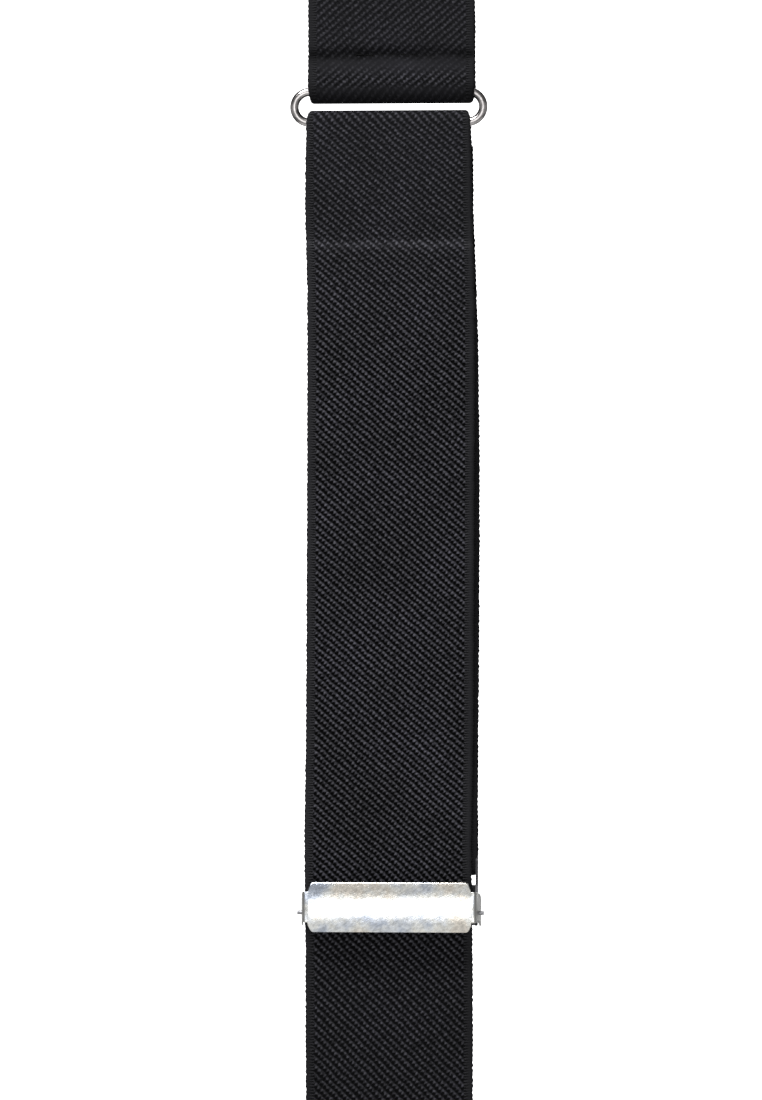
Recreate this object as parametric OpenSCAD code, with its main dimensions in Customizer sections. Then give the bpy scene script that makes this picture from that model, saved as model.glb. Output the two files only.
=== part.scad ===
// Clip-on dress suspenders with a Y back.
// Frame: +Z up, the front faces -Y, X runs across. The origin lies midway
// between the undersides of the two shoulder arches.
// left = the -X side, right = the +X side.

/* [Webbing] */
// width of the elastic webbing
web_w = 38; // [30:1:40]
// thickness of the elastic webbing
web_t = 1.6; // [1.2:0.1:2.0]

/* [Layout] */
// distance between the two front straps, centre to centre
strap_spacing = 250; // [220:10:320]
// inside radius of the arch over each shoulder
shoulder_r = 55; // [50:5:90]
// slant of the straps toward the middle of the back, in degrees
back_slant = 25; // [20:1:30]
// drop from the shoulder to the middle of the oval ring
ring_drop = 280; // [240:5:320]
// drop from the middle of the ring to the adjuster's pin
adjuster_drop = 184.5; // [120:0.5:220]
// drop from the adjuster's pin to the front clip's loop bar
clip_drop = 80.5; // [60:0.5:120]
// drop from the shoulder to the back clip's loop bar
back_clip_drop = 540; // [480:5:600]

/* [Ring] */
// outside length of the oval ring
ring_w = 45.4; // [44:0.1:50]
// outside height of the oval ring
ring_h = 9; // [8.6:0.1:12]
// diameter of the ring's round wire
wire_d = 2; // [1.6:0.1:2.4]

/* [Adjuster] */
// length of the lever's front plate, without its side tabs
plate_w = 37; // [34:0.5:40]
// height of the lever's front plate
plate_h = 11.5; // [10:0.5:14]
// bulge of the front plate
plate_bulge = 1.2; // [0.6:0.1:2]
// height of the plate's middle above the pin
plate_up = 1.4; // [0:0.1:3]
// thickness of the stamped steel
steel_t = 0.8; // [0.6:0.1:1.2]
// diameter of the adjuster's pin
pin_d = 0.9; // [0.8:0.1:1.6]

/* [Clip] */
// width of the clip's jaw plate
clip_w = 30; // [24:1:34]
// length of the clip below its loop bar
clip_len = 44; // [40:1:50]
// diameter of the clip's loop bar
bar_d = 2.4; // [2:0.1:3]
// diameter of the clip's hinge pin
clip_pin_d = 1.6; // [1.2:0.1:2]

/* [Patch] */
// width of each arm of the leather patch
patch_arm_w = 43; // [40:1:50]
// thickness of the outer leather
leather_t = 1.6; // [1.2:0.1:2.2]
// thickness of the inner leather
lining_t = 1.2; // [0.8:0.1:1.6]

/* [Hidden] */
$fn = 64;
// across the strap
s = strap_spacing/2;
hw = web_w/2;
// the webbing bears on a tilted cylinder, so its run stays straight when laid flat
h = back_slant/2;
r_in = shoulder_r;
r_out = shoulder_r + web_t;
r_mid = shoulder_r + web_t/2;
pitch = r_mid*tan(h);
z_front = -r_in*cos(h) - PI/2*pitch*sin(h);
z_back = z_front + PI*pitch*sin(h);
x_back = -s + PI*pitch*cos(h);
y_front = -r_in;
// ring and fold
wire_r = wire_d/2;
bar_gap = ring_h - wire_d;
fold_in = wire_r + 0.15;
fold_out = fold_in + web_t;
ring_y = -r_in;
ring_z = -ring_drop;
ring_top = ring_z + bar_gap/2;
ring_low = ring_z - bar_gap/2;
ring_half = (ring_w - ring_h)/2;
// lower strap: front run and rear run
run_y = ring_y - fold_out;
run_back = run_y + web_t;
leg = 6;
run_top = ring_low - leg;
pin_z = ring_z - adjuster_drop;
pin_y = ring_y - 4.2;
// rear loop on the adjuster's top bar
top_bar_y = ring_y + 1.3;
top_bar_z = pin_z + 11.7;
loop_half = steel_t/2 + 0.15;
loop_low = top_bar_z - 1.1 - 0.15;
loop_seam = pin_z + 17.4;
tail_top = pin_z + 21;
rear_front = top_bar_y - loop_half - web_t;
// front clip loop
clip_y = run_back;
clip_z = pin_z - clip_drop;
clip_in = bar_d/2 + 0.15;
clip_out = clip_in + web_t;
clip_seam = clip_z + 9.5;
clip_tail = clip_z + 14;
// back strap
back_y = r_in;
join_z = z_back + x_back/tan(back_slant) + 14;
back_bar_z = -back_clip_drop;
// lever plate: radius of its bulge
plate_r = (pow(plate_h/2, 2) + pow(plate_bulge, 2))/(2*plate_bulge);
plate_front = ring_y - 9.0;
flange_t = 0.5;
ear_in = hw + 0.92;
ear_out = hw + 1.45;

black = [0.13, 0.13, 0.14];
thread = [0.08, 0.08, 0.09];
silver = [0.78, 0.79, 0.81];
dark_steel = [0.35, 0.36, 0.38];
leather = [0.10, 0.08, 0.07];
grip = [0.16, 0.16, 0.17];

sides = ["left", "right"];
strap_parts = ["shoulder_strap", "shoulder_stitching", "ring", "ring_wrap", "front_run", "rear_run", "adjuster_loop", "adjuster_loop_stitching", "clip_loop", "clip_loop_stitching", "adjuster_frame", "adjuster_pin", "adjuster_lever", "adjuster_jaw"];
clip_parts = ["clip_base", "clip_pin", "clip_lever", "clip_base_grip", "clip_lever_grip"];

// ---- helpers ----

// an outline in Y and Z, drawn out along X about the middle
module across(w, x = 0) {
    translate([x, 0, 0]) rotate([90, 0, 90]) linear_extrude(w, center = true) children();
}

// an outline in X and Z, drawn out from y0 to y0 + t
module facing(y0, t) {
    translate([0, y0 + t, 0]) rotate([90, 0, 0]) linear_extrude(t) children();
}

// the left half is drawn, the right half mirrors it
module side(k) {
    if (k < 0) children(); else mirror([1, 0, 0]) children();
}

// half of an annulus about (y, z), open upward or downward
module half_fold(y, z, a, b, up) {
    translate([y, z]) difference() {
        circle(b);
        circle(a);
        translate([-2*b, up ? -4*b : 0]) square([4*b, 4*b]);
    }
}

// a slanted layer from (y0, z0) to (y1, z1), t thick in Y
module layer(y0, z0, y1, z1, t) {
    polygon([[y0, z0], [y0 + t, z0], [y1 + t, z1], [y1, z1]]);
}

// a loop of webbing hanging on a bar: outline in Y and Z
module loop_outline(face, bar_y, bar_z, a, seam, tail) {
    b = a + web_t;
    half_fold(bar_y, bar_z, a, b, false);
    layer(bar_y - b, bar_z, face, seam, web_t);
    layer(bar_y + a, bar_z, face + web_t, seam, web_t);
    translate([face, seam]) square([web_t, tail - seam]);
    translate([face + web_t, seam]) square([web_t, tail - seam]);
}

// one row of stitches across the strap
module stitch_row(y0, z, n = 12, w = web_w - 5) {
    for (i = [0 : n - 1])
        translate([-s - w/2 + w*(i + 0.5)/n - 0.95, y0, z - 0.22]) cube([1.9, 0.3, 0.45]);
}

// ---- upper half: shoulder strap ----

function arch_point(r, th, off) =
    let (b = [-sin(h), 0, cos(h)], c = [0, 1, 0], a = [cos(h), 0, sin(h)],
         centre = [-s + PI/2*pitch*cos(h), 0, -r_in*cos(h)])
    centre + r*(cos(th)*b + sin(th)*c) + (pitch*th*PI/180 + off)*a;

// the band of webbing over the shoulder: a helix of gentle pitch on a tilted cylinder,
// with a thin tongue at each end that goes into the straight webbing
function arch_row(th, half, d = 0, move = [0, 0, 0]) =
    [for (q = [[r_in + d, d - half], [r_in + d, half - d], [r_out - d, half - d], [r_out - d, d - half]])
        arch_point(q[0], th, q[1]) + move];

module arch(m = 44) {
    half = hw/cos(h);
    rows = concat(
        [arch_row(-90, half, 0.03, [0, 0, -1.5]), arch_row(-90, half, 0.03)],
        [for (i = [0 : m]) arch_row(-89 + 178*i/m, half)],
        [arch_row(90, half, 0.03), arch_row(90, half, 0.03, 1.5*[sin(back_slant), 0, -cos(back_slant)])]);
    n = len(rows) - 1;
    pts = [for (row = rows) each row];
    polyhedron(points = pts, faces = concat(
        [[3, 2, 1, 0]],
        [[4*n, 4*n + 1, 4*n + 2, 4*n + 3]],
        [for (i = [0 : n - 1], j = [0 : 3], e = [0, 1])
            let (a = 4*i + j, b = 4*i + (j + 1)%4) e == 0 ? [b + 4, a + 4, a] : [b, b + 4, a]]));
}

module shoulder_strap(k) {
    lean = hw*tan(h);
    run = [sin(back_slant), -cos(back_slant)];
    // where the strap's outer and inner edges leave the arch at the back
    top_in = [x_back + hw, z_back + lean];
    top_out = [x_back - hw, z_back - lean];
    gap = 0.2;
    color(black) side(k) {
        across(web_w, -s) loop_outline(y_front - web_t, ring_y, ring_top, fold_in, ring_top + 8.4, ring_top + 18);
        facing(y_front - web_t, web_t) polygon([[-s - hw, ring_top + 17.9], [-s + hw, ring_top + 17.9], [-s + hw, z_front + lean], [-s - hw, z_front - lean]]);
        arch();
        facing(back_y, web_t) polygon([
            top_out, top_in,
            top_in + run*(-gap - top_in[0])/run[0],
            [-gap, join_z],
            top_out + run*(join_z - top_out[1])/run[1]]);
    }
}

module shoulder_stitching(k) {
    color(thread) side(k) {
        stitch_row(y_front - web_t - 0.3, ring_top + 8.9);
        stitch_row(y_front + web_t, ring_top + 8.9);
    }
}

// ---- oval ring ----

module ring(k) {
    color(silver) side(k) translate([-s, ring_y, ring_z]) {
        for (e = [-1, 1]) {
            translate([0, 0, e*bar_gap/2]) rotate([0, 90, 0]) cylinder(r = wire_r, h = 2*ring_half, center = true);
            translate([e*ring_half, 0, 0]) rotate([0, e*90, 0]) rotate([90, 0, 0])
                rotate_extrude(angle = 180) translate([bar_gap/2, 0]) circle(wire_r);
        }
    }
}

// ---- lower strap ----

module ring_wrap(k) {
    color(black) side(k) across(web_w, -s) {
        half_fold(ring_y, ring_low, fold_in, fold_out, true);
        for (y = [run_y, ring_y + fold_in]) translate([y, run_top + 0.3]) square([web_t, leg - 0.3 + 0.01]);
    }
}

module front_run(k) {
    color(black) side(k) across(web_w, -s) translate([run_y, clip_tail]) square([web_t, run_top - clip_tail]);
}

module rear_run(k) {
    color(black) side(k) across(web_w, -s) layer(rear_front, tail_top, ring_y + fold_in, run_top, web_t);
}

module adjuster_loop(k) {
    color(black) side(k) across(web_w, -s) {
        f = rear_front;
        b = top_bar_y + loop_half;
        difference() {
            union() {
                translate([f, loop_low]) square([2*loop_half + 2*web_t, 2.6]);
                translate([f + web_t, loop_low]) circle(web_t);
                translate([b, loop_low]) circle(web_t);
                translate([f + web_t, loop_low - web_t]) square([2*loop_half, web_t + 0.01]);
            }
            translate([f + web_t, loop_low]) square([2*loop_half, 3]);
        }
        translate([f, loop_low + 2.5]) square([web_t, tail_top - loop_low - 2.5]);
        layer(b, loop_low + 2.59, f + web_t, loop_seam - 1.2, web_t);
        translate([f + web_t - 0.01, loop_seam - 1.21]) square([web_t + 0.01, tail_top - loop_seam + 1.21]);
    }
}

module adjuster_loop_stitching(k) {
    color(thread) side(k) {
        stitch_row(rear_front + 2*web_t, loop_seam);
        stitch_row(rear_front + 2*web_t, loop_seam + 1.8);
    }
}

module clip_loop(k) {
    color(black) side(k) across(web_w, -s)
        loop_outline(run_y, clip_y, clip_z, clip_in, clip_seam, clip_tail);
}

module clip_loop_stitching(k) {
    color(thread) side(k) for (z = [clip_seam + 1, clip_seam + 3]) {
        stitch_row(run_y - 0.3, z);
        stitch_row(run_back + web_t, z);
    }
}

// ---- adjuster ----

// flange seen from the side, Y and Z about the pin
module flange_outline() {
    back = top_bar_y + steel_t/2 - pin_y;
    difference() {
        union() {
            polygon([[-0.4, -1.15], [1.2, -3], [back - 1.6, -3], [back, -1.2], [back, 11.6], [back - 1.2, 12.8], [back - 2, 12.8], [back - 2.6, 11.8], [2.6, 6.2], [-0.4, 1.15]]);
            circle(1.2, $fn = 32);
        }
        circle(pin_d/2 + 0.05, $fn = 32);
    }
}

module adjuster_frame(k) {
    color(silver) side(k) translate([-s, pin_y, pin_z]) {
        for (e = [-1, 1]) across(flange_t, e*(hw + 0.3 + flange_t/2)) flange_outline();
        // anvil under the jaw
        translate([-hw - 0.3, run_back + 0.1 - pin_y, -3]) cube([web_w + 0.6, steel_t, 9.2]);
        // bar that the rear loop is sewn on
        translate([-hw - 0.3, top_bar_y - steel_t/2 - pin_y, 10.6]) cube([web_w + 0.6, steel_t, 2.2]);
    }
}

module adjuster_pin(k) {
    color(dark_steel) side(k) translate([-s, pin_y, pin_z]) rotate([0, 90, 0]) cylinder(d = pin_d, h = 42.8, center = true, $fn = 32);
}

// front view of the lever: a plate with clipped corners and a tab each side
module lever_front() {
    a = plate_w/2;
    up = plate_up + plate_h/2;
    low = plate_up - plate_h/2;
    polygon([
        [-a + 0.7, up], [a - 0.7, up], [a, 5], [ear_out, 5], [ear_out, -2.1], [a, -2.1], [a - 0.7, low],
        [-a + 0.7, low], [-a, -2.1], [-ear_out, -2.1], [-ear_out, 5], [-a, 5]]);
}

// side view of an ear: hooked toward the back, with the pin hole
module lever_ear() {
    f = plate_front - pin_y + 0.6;
    difference() {
        union() {
            polygon([[f, -2.1], [f, 5], [-1.2, 4.4], [1.2, 3], [2.9, 0.4], [3.2, -1.6], [2.8, -3.2], [1.2, -2.4], [-0.6, -1.3], [-2.6, -1.5]]);
            circle(1.25, $fn = 32);
        }
        circle(pin_d/2 + 0.06, $fn = 32);
    }
}

module adjuster_lever(k) {
    color(silver) side(k) translate([-s, pin_y, pin_z]) {
        intersection() {
            facing(plate_front - pin_y - 1, 6) lever_front();
            across(2*ear_out + 2) translate([plate_front - pin_y + plate_r, plate_up]) difference() {
                circle(plate_r, $fn = 128);
                circle(plate_r - steel_t, $fn = 128);
            }
        }
        for (e = [-1, 1]) across(ear_out - ear_in, e*(ear_in + ear_out)/2) lever_ear();
    }
}

// toothed blade behind the plate
module adjuster_jaw(k) {
    tip = run_y - 0.15 - pin_y;
    root = plate_front - pin_y + 2.1;
    w = 33.6;
    n = 14;
    color(silver) side(k) translate([-s, pin_y, pin_z]) {
        translate([0, 0, 1.7]) linear_extrude(steel_t) polygon(concat(
            [[-w/2, root]],
            [for (i = [0 : n - 1], e = [0, 1, 2])
                let (x = -w/2 + w*(i + e/2)/n) [x, e == 1 ? tip : tip - 1]],
            [[w/2, root]]));
        across(w) polygon([[plate_front - pin_y + 1.26, 1.7], [plate_front - pin_y + 1.54, 4.2], [root + 0.01, 4.2], [root + 0.01, 1.7]]);
    }
}

// ---- back ----

module arm(w, a, b) {
    // an arm from distance a to distance b, with round corners of 4 at the far end
    translate([-w/2, a]) square([w, b - a - 4]);
    translate([-w/2 + 4, a]) square([w - 8, b - a]);
    for (e = [-1, 1]) translate([e*(w/2 - 4), b - 4]) circle(4);
}

module patch_outline(m = 0) {
    translate([0, join_z - 14]) {
        for (e = [-1, 1]) rotate(e*back_slant) arm(patch_arm_w + 2*m, -6, 62 + m);
        rotate(180) arm(patch_arm_w + 2*m, -16, 20 + m);
    }
}

module patch_outer() {
    color(leather) facing(back_y + web_t + 0.05, leather_t) patch_outline();
}

module patch_inner() {
    color(leather) facing(back_y - lining_t - 0.05, lining_t) patch_outline();
}

// stitches from p to q in X and Z
module dashes(p, q, y0) {
    d = q - p;
    n = round(norm(d)/3.2);
    for (i = [0 : n - 1])
        translate([p[0] + d[0]*(i + 0.5)/n, y0, p[1] + d[1]*(i + 0.5)/n])
            rotate([0, -atan2(d[1], d[0]), 0]) translate([-1.05, 0, -0.25]) cube([2.1, 0.35, 0.5]);
}

module patch_stitching() {
    e = patch_arm_w/2 - 4.4;
    color(thread) translate([0, 0, join_z - 14]) for (y0 = [back_y + web_t + 0.05 + leather_t, back_y - lining_t - 0.4]) {
        for (k = [-1, 1]) {
            mirror([k > 0 ? 1 : 0, 0, 0]) {
                // along and across one upper arm; +Z of the arm turned toward the left shoulder
                rotate([0, -back_slant, 0]) {
                    dashes([-e, 14], [-e, 57], y0);
                    dashes([e, 44], [e, 57], y0);
                    dashes([-e, 58], [e, 58], y0);
                }
                dashes([-e, -14], [-e, 9], y0);
            }
        }
        dashes([-e, -16], [e, -16], y0);
    }
}

module back_strap() {
    color(black) mirror([0, 1, 0]) across(web_w) {
        loop_outline(-back_y - web_t, -back_y, back_bar_z, clip_in, back_bar_z + 9.5, back_bar_z + 14);
        translate([-back_y - web_t, back_bar_z + 13.99]) square([web_t, join_z - 0.6 - back_bar_z - 13.99]);
    }
}

module back_loop_stitching() {
    color(thread) mirror([0, 1, 0]) translate([s, 0, 0]) for (z = [back_bar_z + 10.5, back_bar_z + 12.5]) {
        stitch_row(-back_y - web_t - 0.3, z);
        stitch_row(-back_y + web_t, z);
    }
}

// ---- trouser clip: about its loop bar, front toward -Y ----

hinge_y = -7;
hinge_z = -36;
grip_gap = 0.9;

module at_clip(place) {
    if (place == "back") translate([0, back_y, back_bar_z]) rotate([0, 0, 180]) children();
    else translate([place == "left" ? -s : s, clip_y, clip_z]) children();
}

module clip_base(place) {
    a = clip_w/2;
    color(silver) at_clip(place) {
        rotate([0, 90, 0]) cylinder(d = bar_d, h = web_w + 1, center = true);
        facing(-0.5, 1) difference() {
            polygon([[-21, 0.9], [-20.2, 1.7], [-19.4, 1.7], [-19.4, 0.3], [19.4, 0.3], [19.4, 1.7], [20.2, 1.7], [21, 0.9], [21, -7], [a, -13], [a, -clip_len + 2], [a - 2, -clip_len], [-a + 2, -clip_len], [-a, -clip_len + 2], [-a, -13], [-21, -7]]);
            translate([-19.3, -5.4]) square([38.6, 5.6]);
        }
        for (e = [-1, 1]) across(1, e*(a - 0.5)) difference() {
            union() {
                polygon([[-0.4, -29], [-0.4, -42], [hinge_y + 1.1, hinge_z - 1.5], [hinge_y - 0.6, hinge_z + 1.75]]);
                translate([hinge_y, hinge_z]) circle(1.9);
            }
            translate([hinge_y, hinge_z]) circle(clip_pin_d/2 + 0.05);
        }
    }
}

module clip_pin(place) {
    color(dark_steel) at_clip(place) translate([0, hinge_y, hinge_z]) rotate([0, 90, 0]) {
        cylinder(d = clip_pin_d, h = clip_w + 3.2, center = true);
        for (e = [-1, 1]) translate([0, 0, e*(clip_w/2 + 1.5)]) cylinder(d = clip_pin_d + 0.9, h = 0.6, center = true);
    }
}

module clip_lever(place) {
    a = clip_w/2 + 1.05;
    color(silver) at_clip(place) {
        facing(hinge_y - 3.2, 1) polygon([
            [-a + 3, -11], [a - 3, -11], [a, -14], [a, -35.2], [a - 2.5, -35.2], [a - 2.5, -37.4], [a - 4, -38.9],
            [-a + 4, -38.9], [-a + 2.5, -37.4], [-a + 2.5, -35.2], [-a, -35.2], [-a, -14]]);
        for (e = [-1, 1]) across(0.9, e*(a - 0.45)) difference() {
            union() {
                polygon([[hinge_y - 2.3, -27], [hinge_y - 2.3, -35.2], [hinge_y - 1.6, hinge_z - 1], [hinge_y + 1.6, hinge_z + 1]]);
                translate([hinge_y, hinge_z]) circle(1.9);
            }
            translate([hinge_y, hinge_z]) circle(clip_pin_d/2 + 0.05);
        }
        // shelf that carries the grip
        translate([-13.5, hinge_y - 2.3, hinge_z + 1.4]) cube([27, 5.6, 1.6]);
    }
}

module clip_base_grip(place) {
    color(grip) at_clip(place) facing(-1.5, 1) polygon([[-12.5, -29.5], [12.5, -29.5], [12.5, -42], [11.5, -43], [-11.5, -43], [-12.5, -42]]);
}

module clip_lever_grip(place) {
    tip = -1.5 - grip_gap;
    color(grip) at_clip(place) across(26) polygon([
        [hinge_y + 3.3, hinge_z + 0.9], [hinge_y + 3.3, hinge_z + 3.5], [tip - 0.4, hinge_z + 3.5],
        [tip, hinge_z + 3.1], [tip, hinge_z + 1.3], [tip - 0.4, hinge_z + 0.9]]);
}

shoulder_strap(-1);  // left_shoulder_strap
shoulder_strap(1);  // right_shoulder_strap
shoulder_stitching(-1);  // left_shoulder_stitching
shoulder_stitching(1);  // right_shoulder_stitching
ring(-1);  // left_ring
ring(1);  // right_ring
ring_wrap(-1);  // left_ring_wrap
ring_wrap(1);  // right_ring_wrap
front_run(-1);  // left_front_run
front_run(1);  // right_front_run
rear_run(-1);  // left_rear_run
rear_run(1);  // right_rear_run
adjuster_loop(-1);  // left_adjuster_loop
adjuster_loop(1);  // right_adjuster_loop
adjuster_loop_stitching(-1);  // left_adjuster_loop_stitching
adjuster_loop_stitching(1);  // right_adjuster_loop_stitching
clip_loop(-1);  // left_clip_loop
clip_loop(1);  // right_clip_loop
clip_loop_stitching(-1);  // left_clip_loop_stitching
clip_loop_stitching(1);  // right_clip_loop_stitching
adjuster_frame(-1);  // left_adjuster_frame
adjuster_frame(1);  // right_adjuster_frame
adjuster_pin(-1);  // left_adjuster_pin
adjuster_pin(1);  // right_adjuster_pin
adjuster_lever(-1);  // left_adjuster_lever
adjuster_lever(1);  // right_adjuster_lever
adjuster_jaw(-1);  // left_adjuster_jaw
adjuster_jaw(1);  // right_adjuster_jaw
patch_outer();
patch_inner();
patch_stitching();
back_strap();
back_loop_stitching();
clip_base("left");  // left_clip_base
clip_pin("left");  // left_clip_pin
clip_lever("left");  // left_clip_lever
clip_base_grip("left");  // left_clip_base_grip
clip_lever_grip("left");  // left_clip_lever_grip
clip_base("right");  // right_clip_base
clip_pin("right");  // right_clip_pin
clip_lever("right");  // right_clip_lever
clip_base_grip("right");  // right_clip_base_grip
clip_lever_grip("right");  // right_clip_lever_grip
clip_base("back");  // back_clip_base
clip_pin("back");  // back_clip_pin
clip_lever("back");  // back_clip_lever
clip_base_grip("back");  // back_clip_base_grip
clip_lever_grip("back");  // back_clip_lever_grip
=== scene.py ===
# Clip-on dress suspenders, close view of one front strap. Metres, +Z up, front toward -Y.
import math

import bmesh
import bpy
import numpy as np
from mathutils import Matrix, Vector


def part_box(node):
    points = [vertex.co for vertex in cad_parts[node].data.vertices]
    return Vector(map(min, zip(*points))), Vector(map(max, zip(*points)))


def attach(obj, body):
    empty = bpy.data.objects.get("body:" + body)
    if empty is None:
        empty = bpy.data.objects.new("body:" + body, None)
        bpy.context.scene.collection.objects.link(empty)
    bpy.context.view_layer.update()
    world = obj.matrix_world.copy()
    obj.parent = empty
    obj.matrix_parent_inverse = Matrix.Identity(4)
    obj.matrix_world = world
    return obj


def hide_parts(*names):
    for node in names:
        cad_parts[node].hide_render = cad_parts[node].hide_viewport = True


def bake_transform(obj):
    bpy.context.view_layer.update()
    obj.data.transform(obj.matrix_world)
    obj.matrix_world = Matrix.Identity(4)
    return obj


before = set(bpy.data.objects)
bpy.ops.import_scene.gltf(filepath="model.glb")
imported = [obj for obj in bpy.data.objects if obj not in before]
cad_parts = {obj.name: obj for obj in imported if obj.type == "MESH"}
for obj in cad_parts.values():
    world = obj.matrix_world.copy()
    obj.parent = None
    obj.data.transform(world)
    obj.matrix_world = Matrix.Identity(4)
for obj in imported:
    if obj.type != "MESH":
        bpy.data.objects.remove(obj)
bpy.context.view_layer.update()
mm = 0.001
pi = math.pi


def linear(code):
    # sRGB hex to linear: ((c + 0.055) / 1.055) ^ 2.4 above the toe, c / 12.92 below it
    c = [int(code[i:i + 2], 16) / 255 for i in (1, 3, 5)]
    return tuple(((x + 0.055) / 1.055) ** 2.4 if x > 0.04045 else x / 12.92 for x in c) + (1.0,)


def put(tree, kind, settings=None, links=None):
    # one node: settings are its own properties, links are sockets or plain values for its inputs
    node = tree.nodes.new(kind)
    for key, value in (settings or {}).items():
        setattr(node, key, value)
    for key, value in (links or {}).items():
        if isinstance(value, bpy.types.NodeSocket):
            tree.links.new(value, node.inputs[key])
        else:
            node.inputs[key].default_value = value
    return node


def greyRamp(tree, fac, stops):
    # a colour ramp from (position, grey level or colour) pairs
    node = put(tree, "ShaderNodeValToRGB", links={0: fac})
    elements = node.color_ramp.elements
    while len(elements) < len(stops):
        elements.new(0.5)
    for element, (at, tone) in zip(elements, stops):
        element.position = at
        element.color = linear(tone) if isinstance(tone, str) else (tone, tone, tone, 1)
    return node


def newMaterial(name):
    made = bpy.data.materials.new(name)
    made.use_nodes = True
    made.node_tree.nodes.clear()
    return made, made.node_tree


def gridMesh(name, points, uv, material, capped=True):
    # points[i, j] is a surface of two parameters, i along and j round the closed section;
    # quads join neighbours, and capped shuts the two ends with one face each
    n, m = points.shape[:2]
    i = np.arange(n - 1)[:, None]
    j = np.arange(m)[None, :]
    k = (j + 1) % m
    quads = np.stack([i * m + j, (i + 1) * m + j, (i + 1) * m + k, i * m + k], -1).reshape(-1, 4)
    corner = np.stack([uv[:-1, :m], uv[1:, :m], uv[1:, 1:], uv[:-1, 1:]], 2).reshape(-1, 4, 2)
    flat = points.reshape(-1, 3)
    # volume = sum of a . (b x c) / 6 over the faces; its sign says which way they look
    a, b, c, d = (flat[quads[:, x]] for x in range(4))
    volume = np.einsum("ij,ij->i", a, np.cross(b, c) + np.cross(c, d)).sum() / 6
    caps = [np.arange(m)[::-1], (n - 1) * m + np.arange(m)] if capped else []
    for cap in caps:
        p = flat[cap]
        volume += np.einsum("ij,ij->i", np.broadcast_to(p[0], (m - 2, 3)), np.cross(p[1:-1], p[2:])).sum() / 6
    if volume < 0:
        quads, corner = quads[:, ::-1], corner[:, ::-1]
        caps = [cap[::-1] for cap in caps]
    sizes = np.concatenate([np.full(len(quads), 4), [len(cap) for cap in caps]]).astype(np.int32)
    loops = np.concatenate([quads.ravel()] + caps).astype(np.int32)
    mesh = bpy.data.meshes.new(name)
    mesh.vertices.add(len(flat))
    mesh.vertices.foreach_set("co", flat.astype(np.float32).ravel())
    mesh.loops.add(len(loops))
    mesh.loops.foreach_set("vertex_index", loops)
    mesh.polygons.add(len(sizes))
    mesh.polygons.foreach_set("loop_start", np.concatenate([[0], np.cumsum(sizes)[:-1]]).astype(np.int32))
    mesh.polygons.foreach_set("loop_total", sizes)
    smooth = np.ones(len(sizes), bool)
    smooth[len(quads):] = False
    mesh.polygons.foreach_set("use_smooth", smooth)
    layer = mesh.uv_layers.new(name="weave")
    capUv = [uv[0 if x == 0 else -1, cap % m] for x, cap in enumerate(caps)]
    layer.data.foreach_set("uv", np.concatenate([corner.reshape(-1, 2)] + capUv).astype(np.float32).ravel())
    mesh.update()
    mesh.validate()
    piece = bpy.data.objects.new(name, mesh)
    bpy.context.collection.objects.link(piece)
    piece.data.materials.append(material)
    return piece


def evenly(points, step):
    # the same polyline with a point every step, by arc length; returns the points and their distances
    gaps = np.linalg.norm(np.diff(points, axis=0), axis=1)
    keep = np.concatenate([[True], gaps > 1e-9])
    points = points[keep]
    run = np.concatenate([[0], np.cumsum(np.linalg.norm(np.diff(points, axis=0), axis=1))])
    at = np.linspace(0, run[-1], max(2, int(round(run[-1] / step)) + 1))
    return np.stack([np.interp(at, run, points[:, c]) for c in range(points.shape[1])], 1), at


def arc(y, z, r, start, stop):
    # centre (y, z), angles in degrees from +Y toward +Z
    a = np.radians(np.linspace(start, stop, 40))
    return np.stack([y + r * np.cos(a), z + r * np.sin(a)], 1)


scene = bpy.context.scene
scene.view_settings.view_transform = "Standard"

camera = {"distance": 1.35, "yaw": 4.0, "height": 0.2518, "aim": (-0.1273, -0.0575, -0.3816)}
eye = bpy.data.objects.new("camera", bpy.data.cameras.new("camera"))
bpy.context.collection.objects.link(eye)
turn = math.radians(camera["yaw"])
eye.location = (camera["aim"][0] + camera["distance"] * math.sin(turn),
                camera["aim"][1] - camera["distance"] * math.cos(turn), camera["aim"][2])
eye.rotation_euler = (pi / 2, 0, turn)
eye.data.sensor_width = 36
eye.data.lens = 36 * camera["distance"] / camera["height"]
eye.data.clip_start = 0.05
scene.camera = eye

# studio: a white strip level with the horizon, greyer above and below it, dim at both sides
world = bpy.data.worlds.new("studio")
scene.world = world
world.use_nodes = True
tree = world.node_tree
tree.nodes.clear()
place = put(tree, "ShaderNodeTexCoord")
parts = put(tree, "ShaderNodeSeparateXYZ", links={0: place.outputs["Generated"]})
rise = put(tree, "ShaderNodeMapRange", links={0: parts.outputs["Z"], 1: -1.0, 2: 1.0})
height = greyRamp(tree, rise.outputs[0], [
    (0.0, 0.02), (0.1, 0.04), (0.15, 0.34), (0.31, 0.4), (0.34, 1.0), (0.605, 1.0),
    (0.635, 0.3), (0.85, 0.25), (1.0, 0.2)])
narrower = put(tree, "ShaderNodeMapRange", links={0: parts.outputs["Y"], 1: -0.1, 2: 0.1, 3: 1.0, 4: 1.4})
spread = put(tree, "ShaderNodeMath", {"operation": "ABSOLUTE"}, {0: parts.outputs["X"]})
sideways = put(tree, "ShaderNodeMath", {"operation": "MULTIPLY"}, {0: spread.outputs[0], 1: narrower.outputs[0]})
dimmed = greyRamp(tree, sideways.outputs[0], [(0.0, 1.0), (0.2, 1.0), (0.32, 0.3), (0.9, 0.15)])
level = put(tree, "ShaderNodeMix", {"data_type": "RGBA", "blend_type": "MULTIPLY"}, {
    0: 1.0, 6: height.outputs[0], 7: dimmed.outputs[0]})
lit = put(tree, "ShaderNodeBackground", links={0: level.outputs[2], "Strength": 2.1})
put(tree, "ShaderNodeOutputWorld", links={0: lit.outputs[0]})

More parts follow.
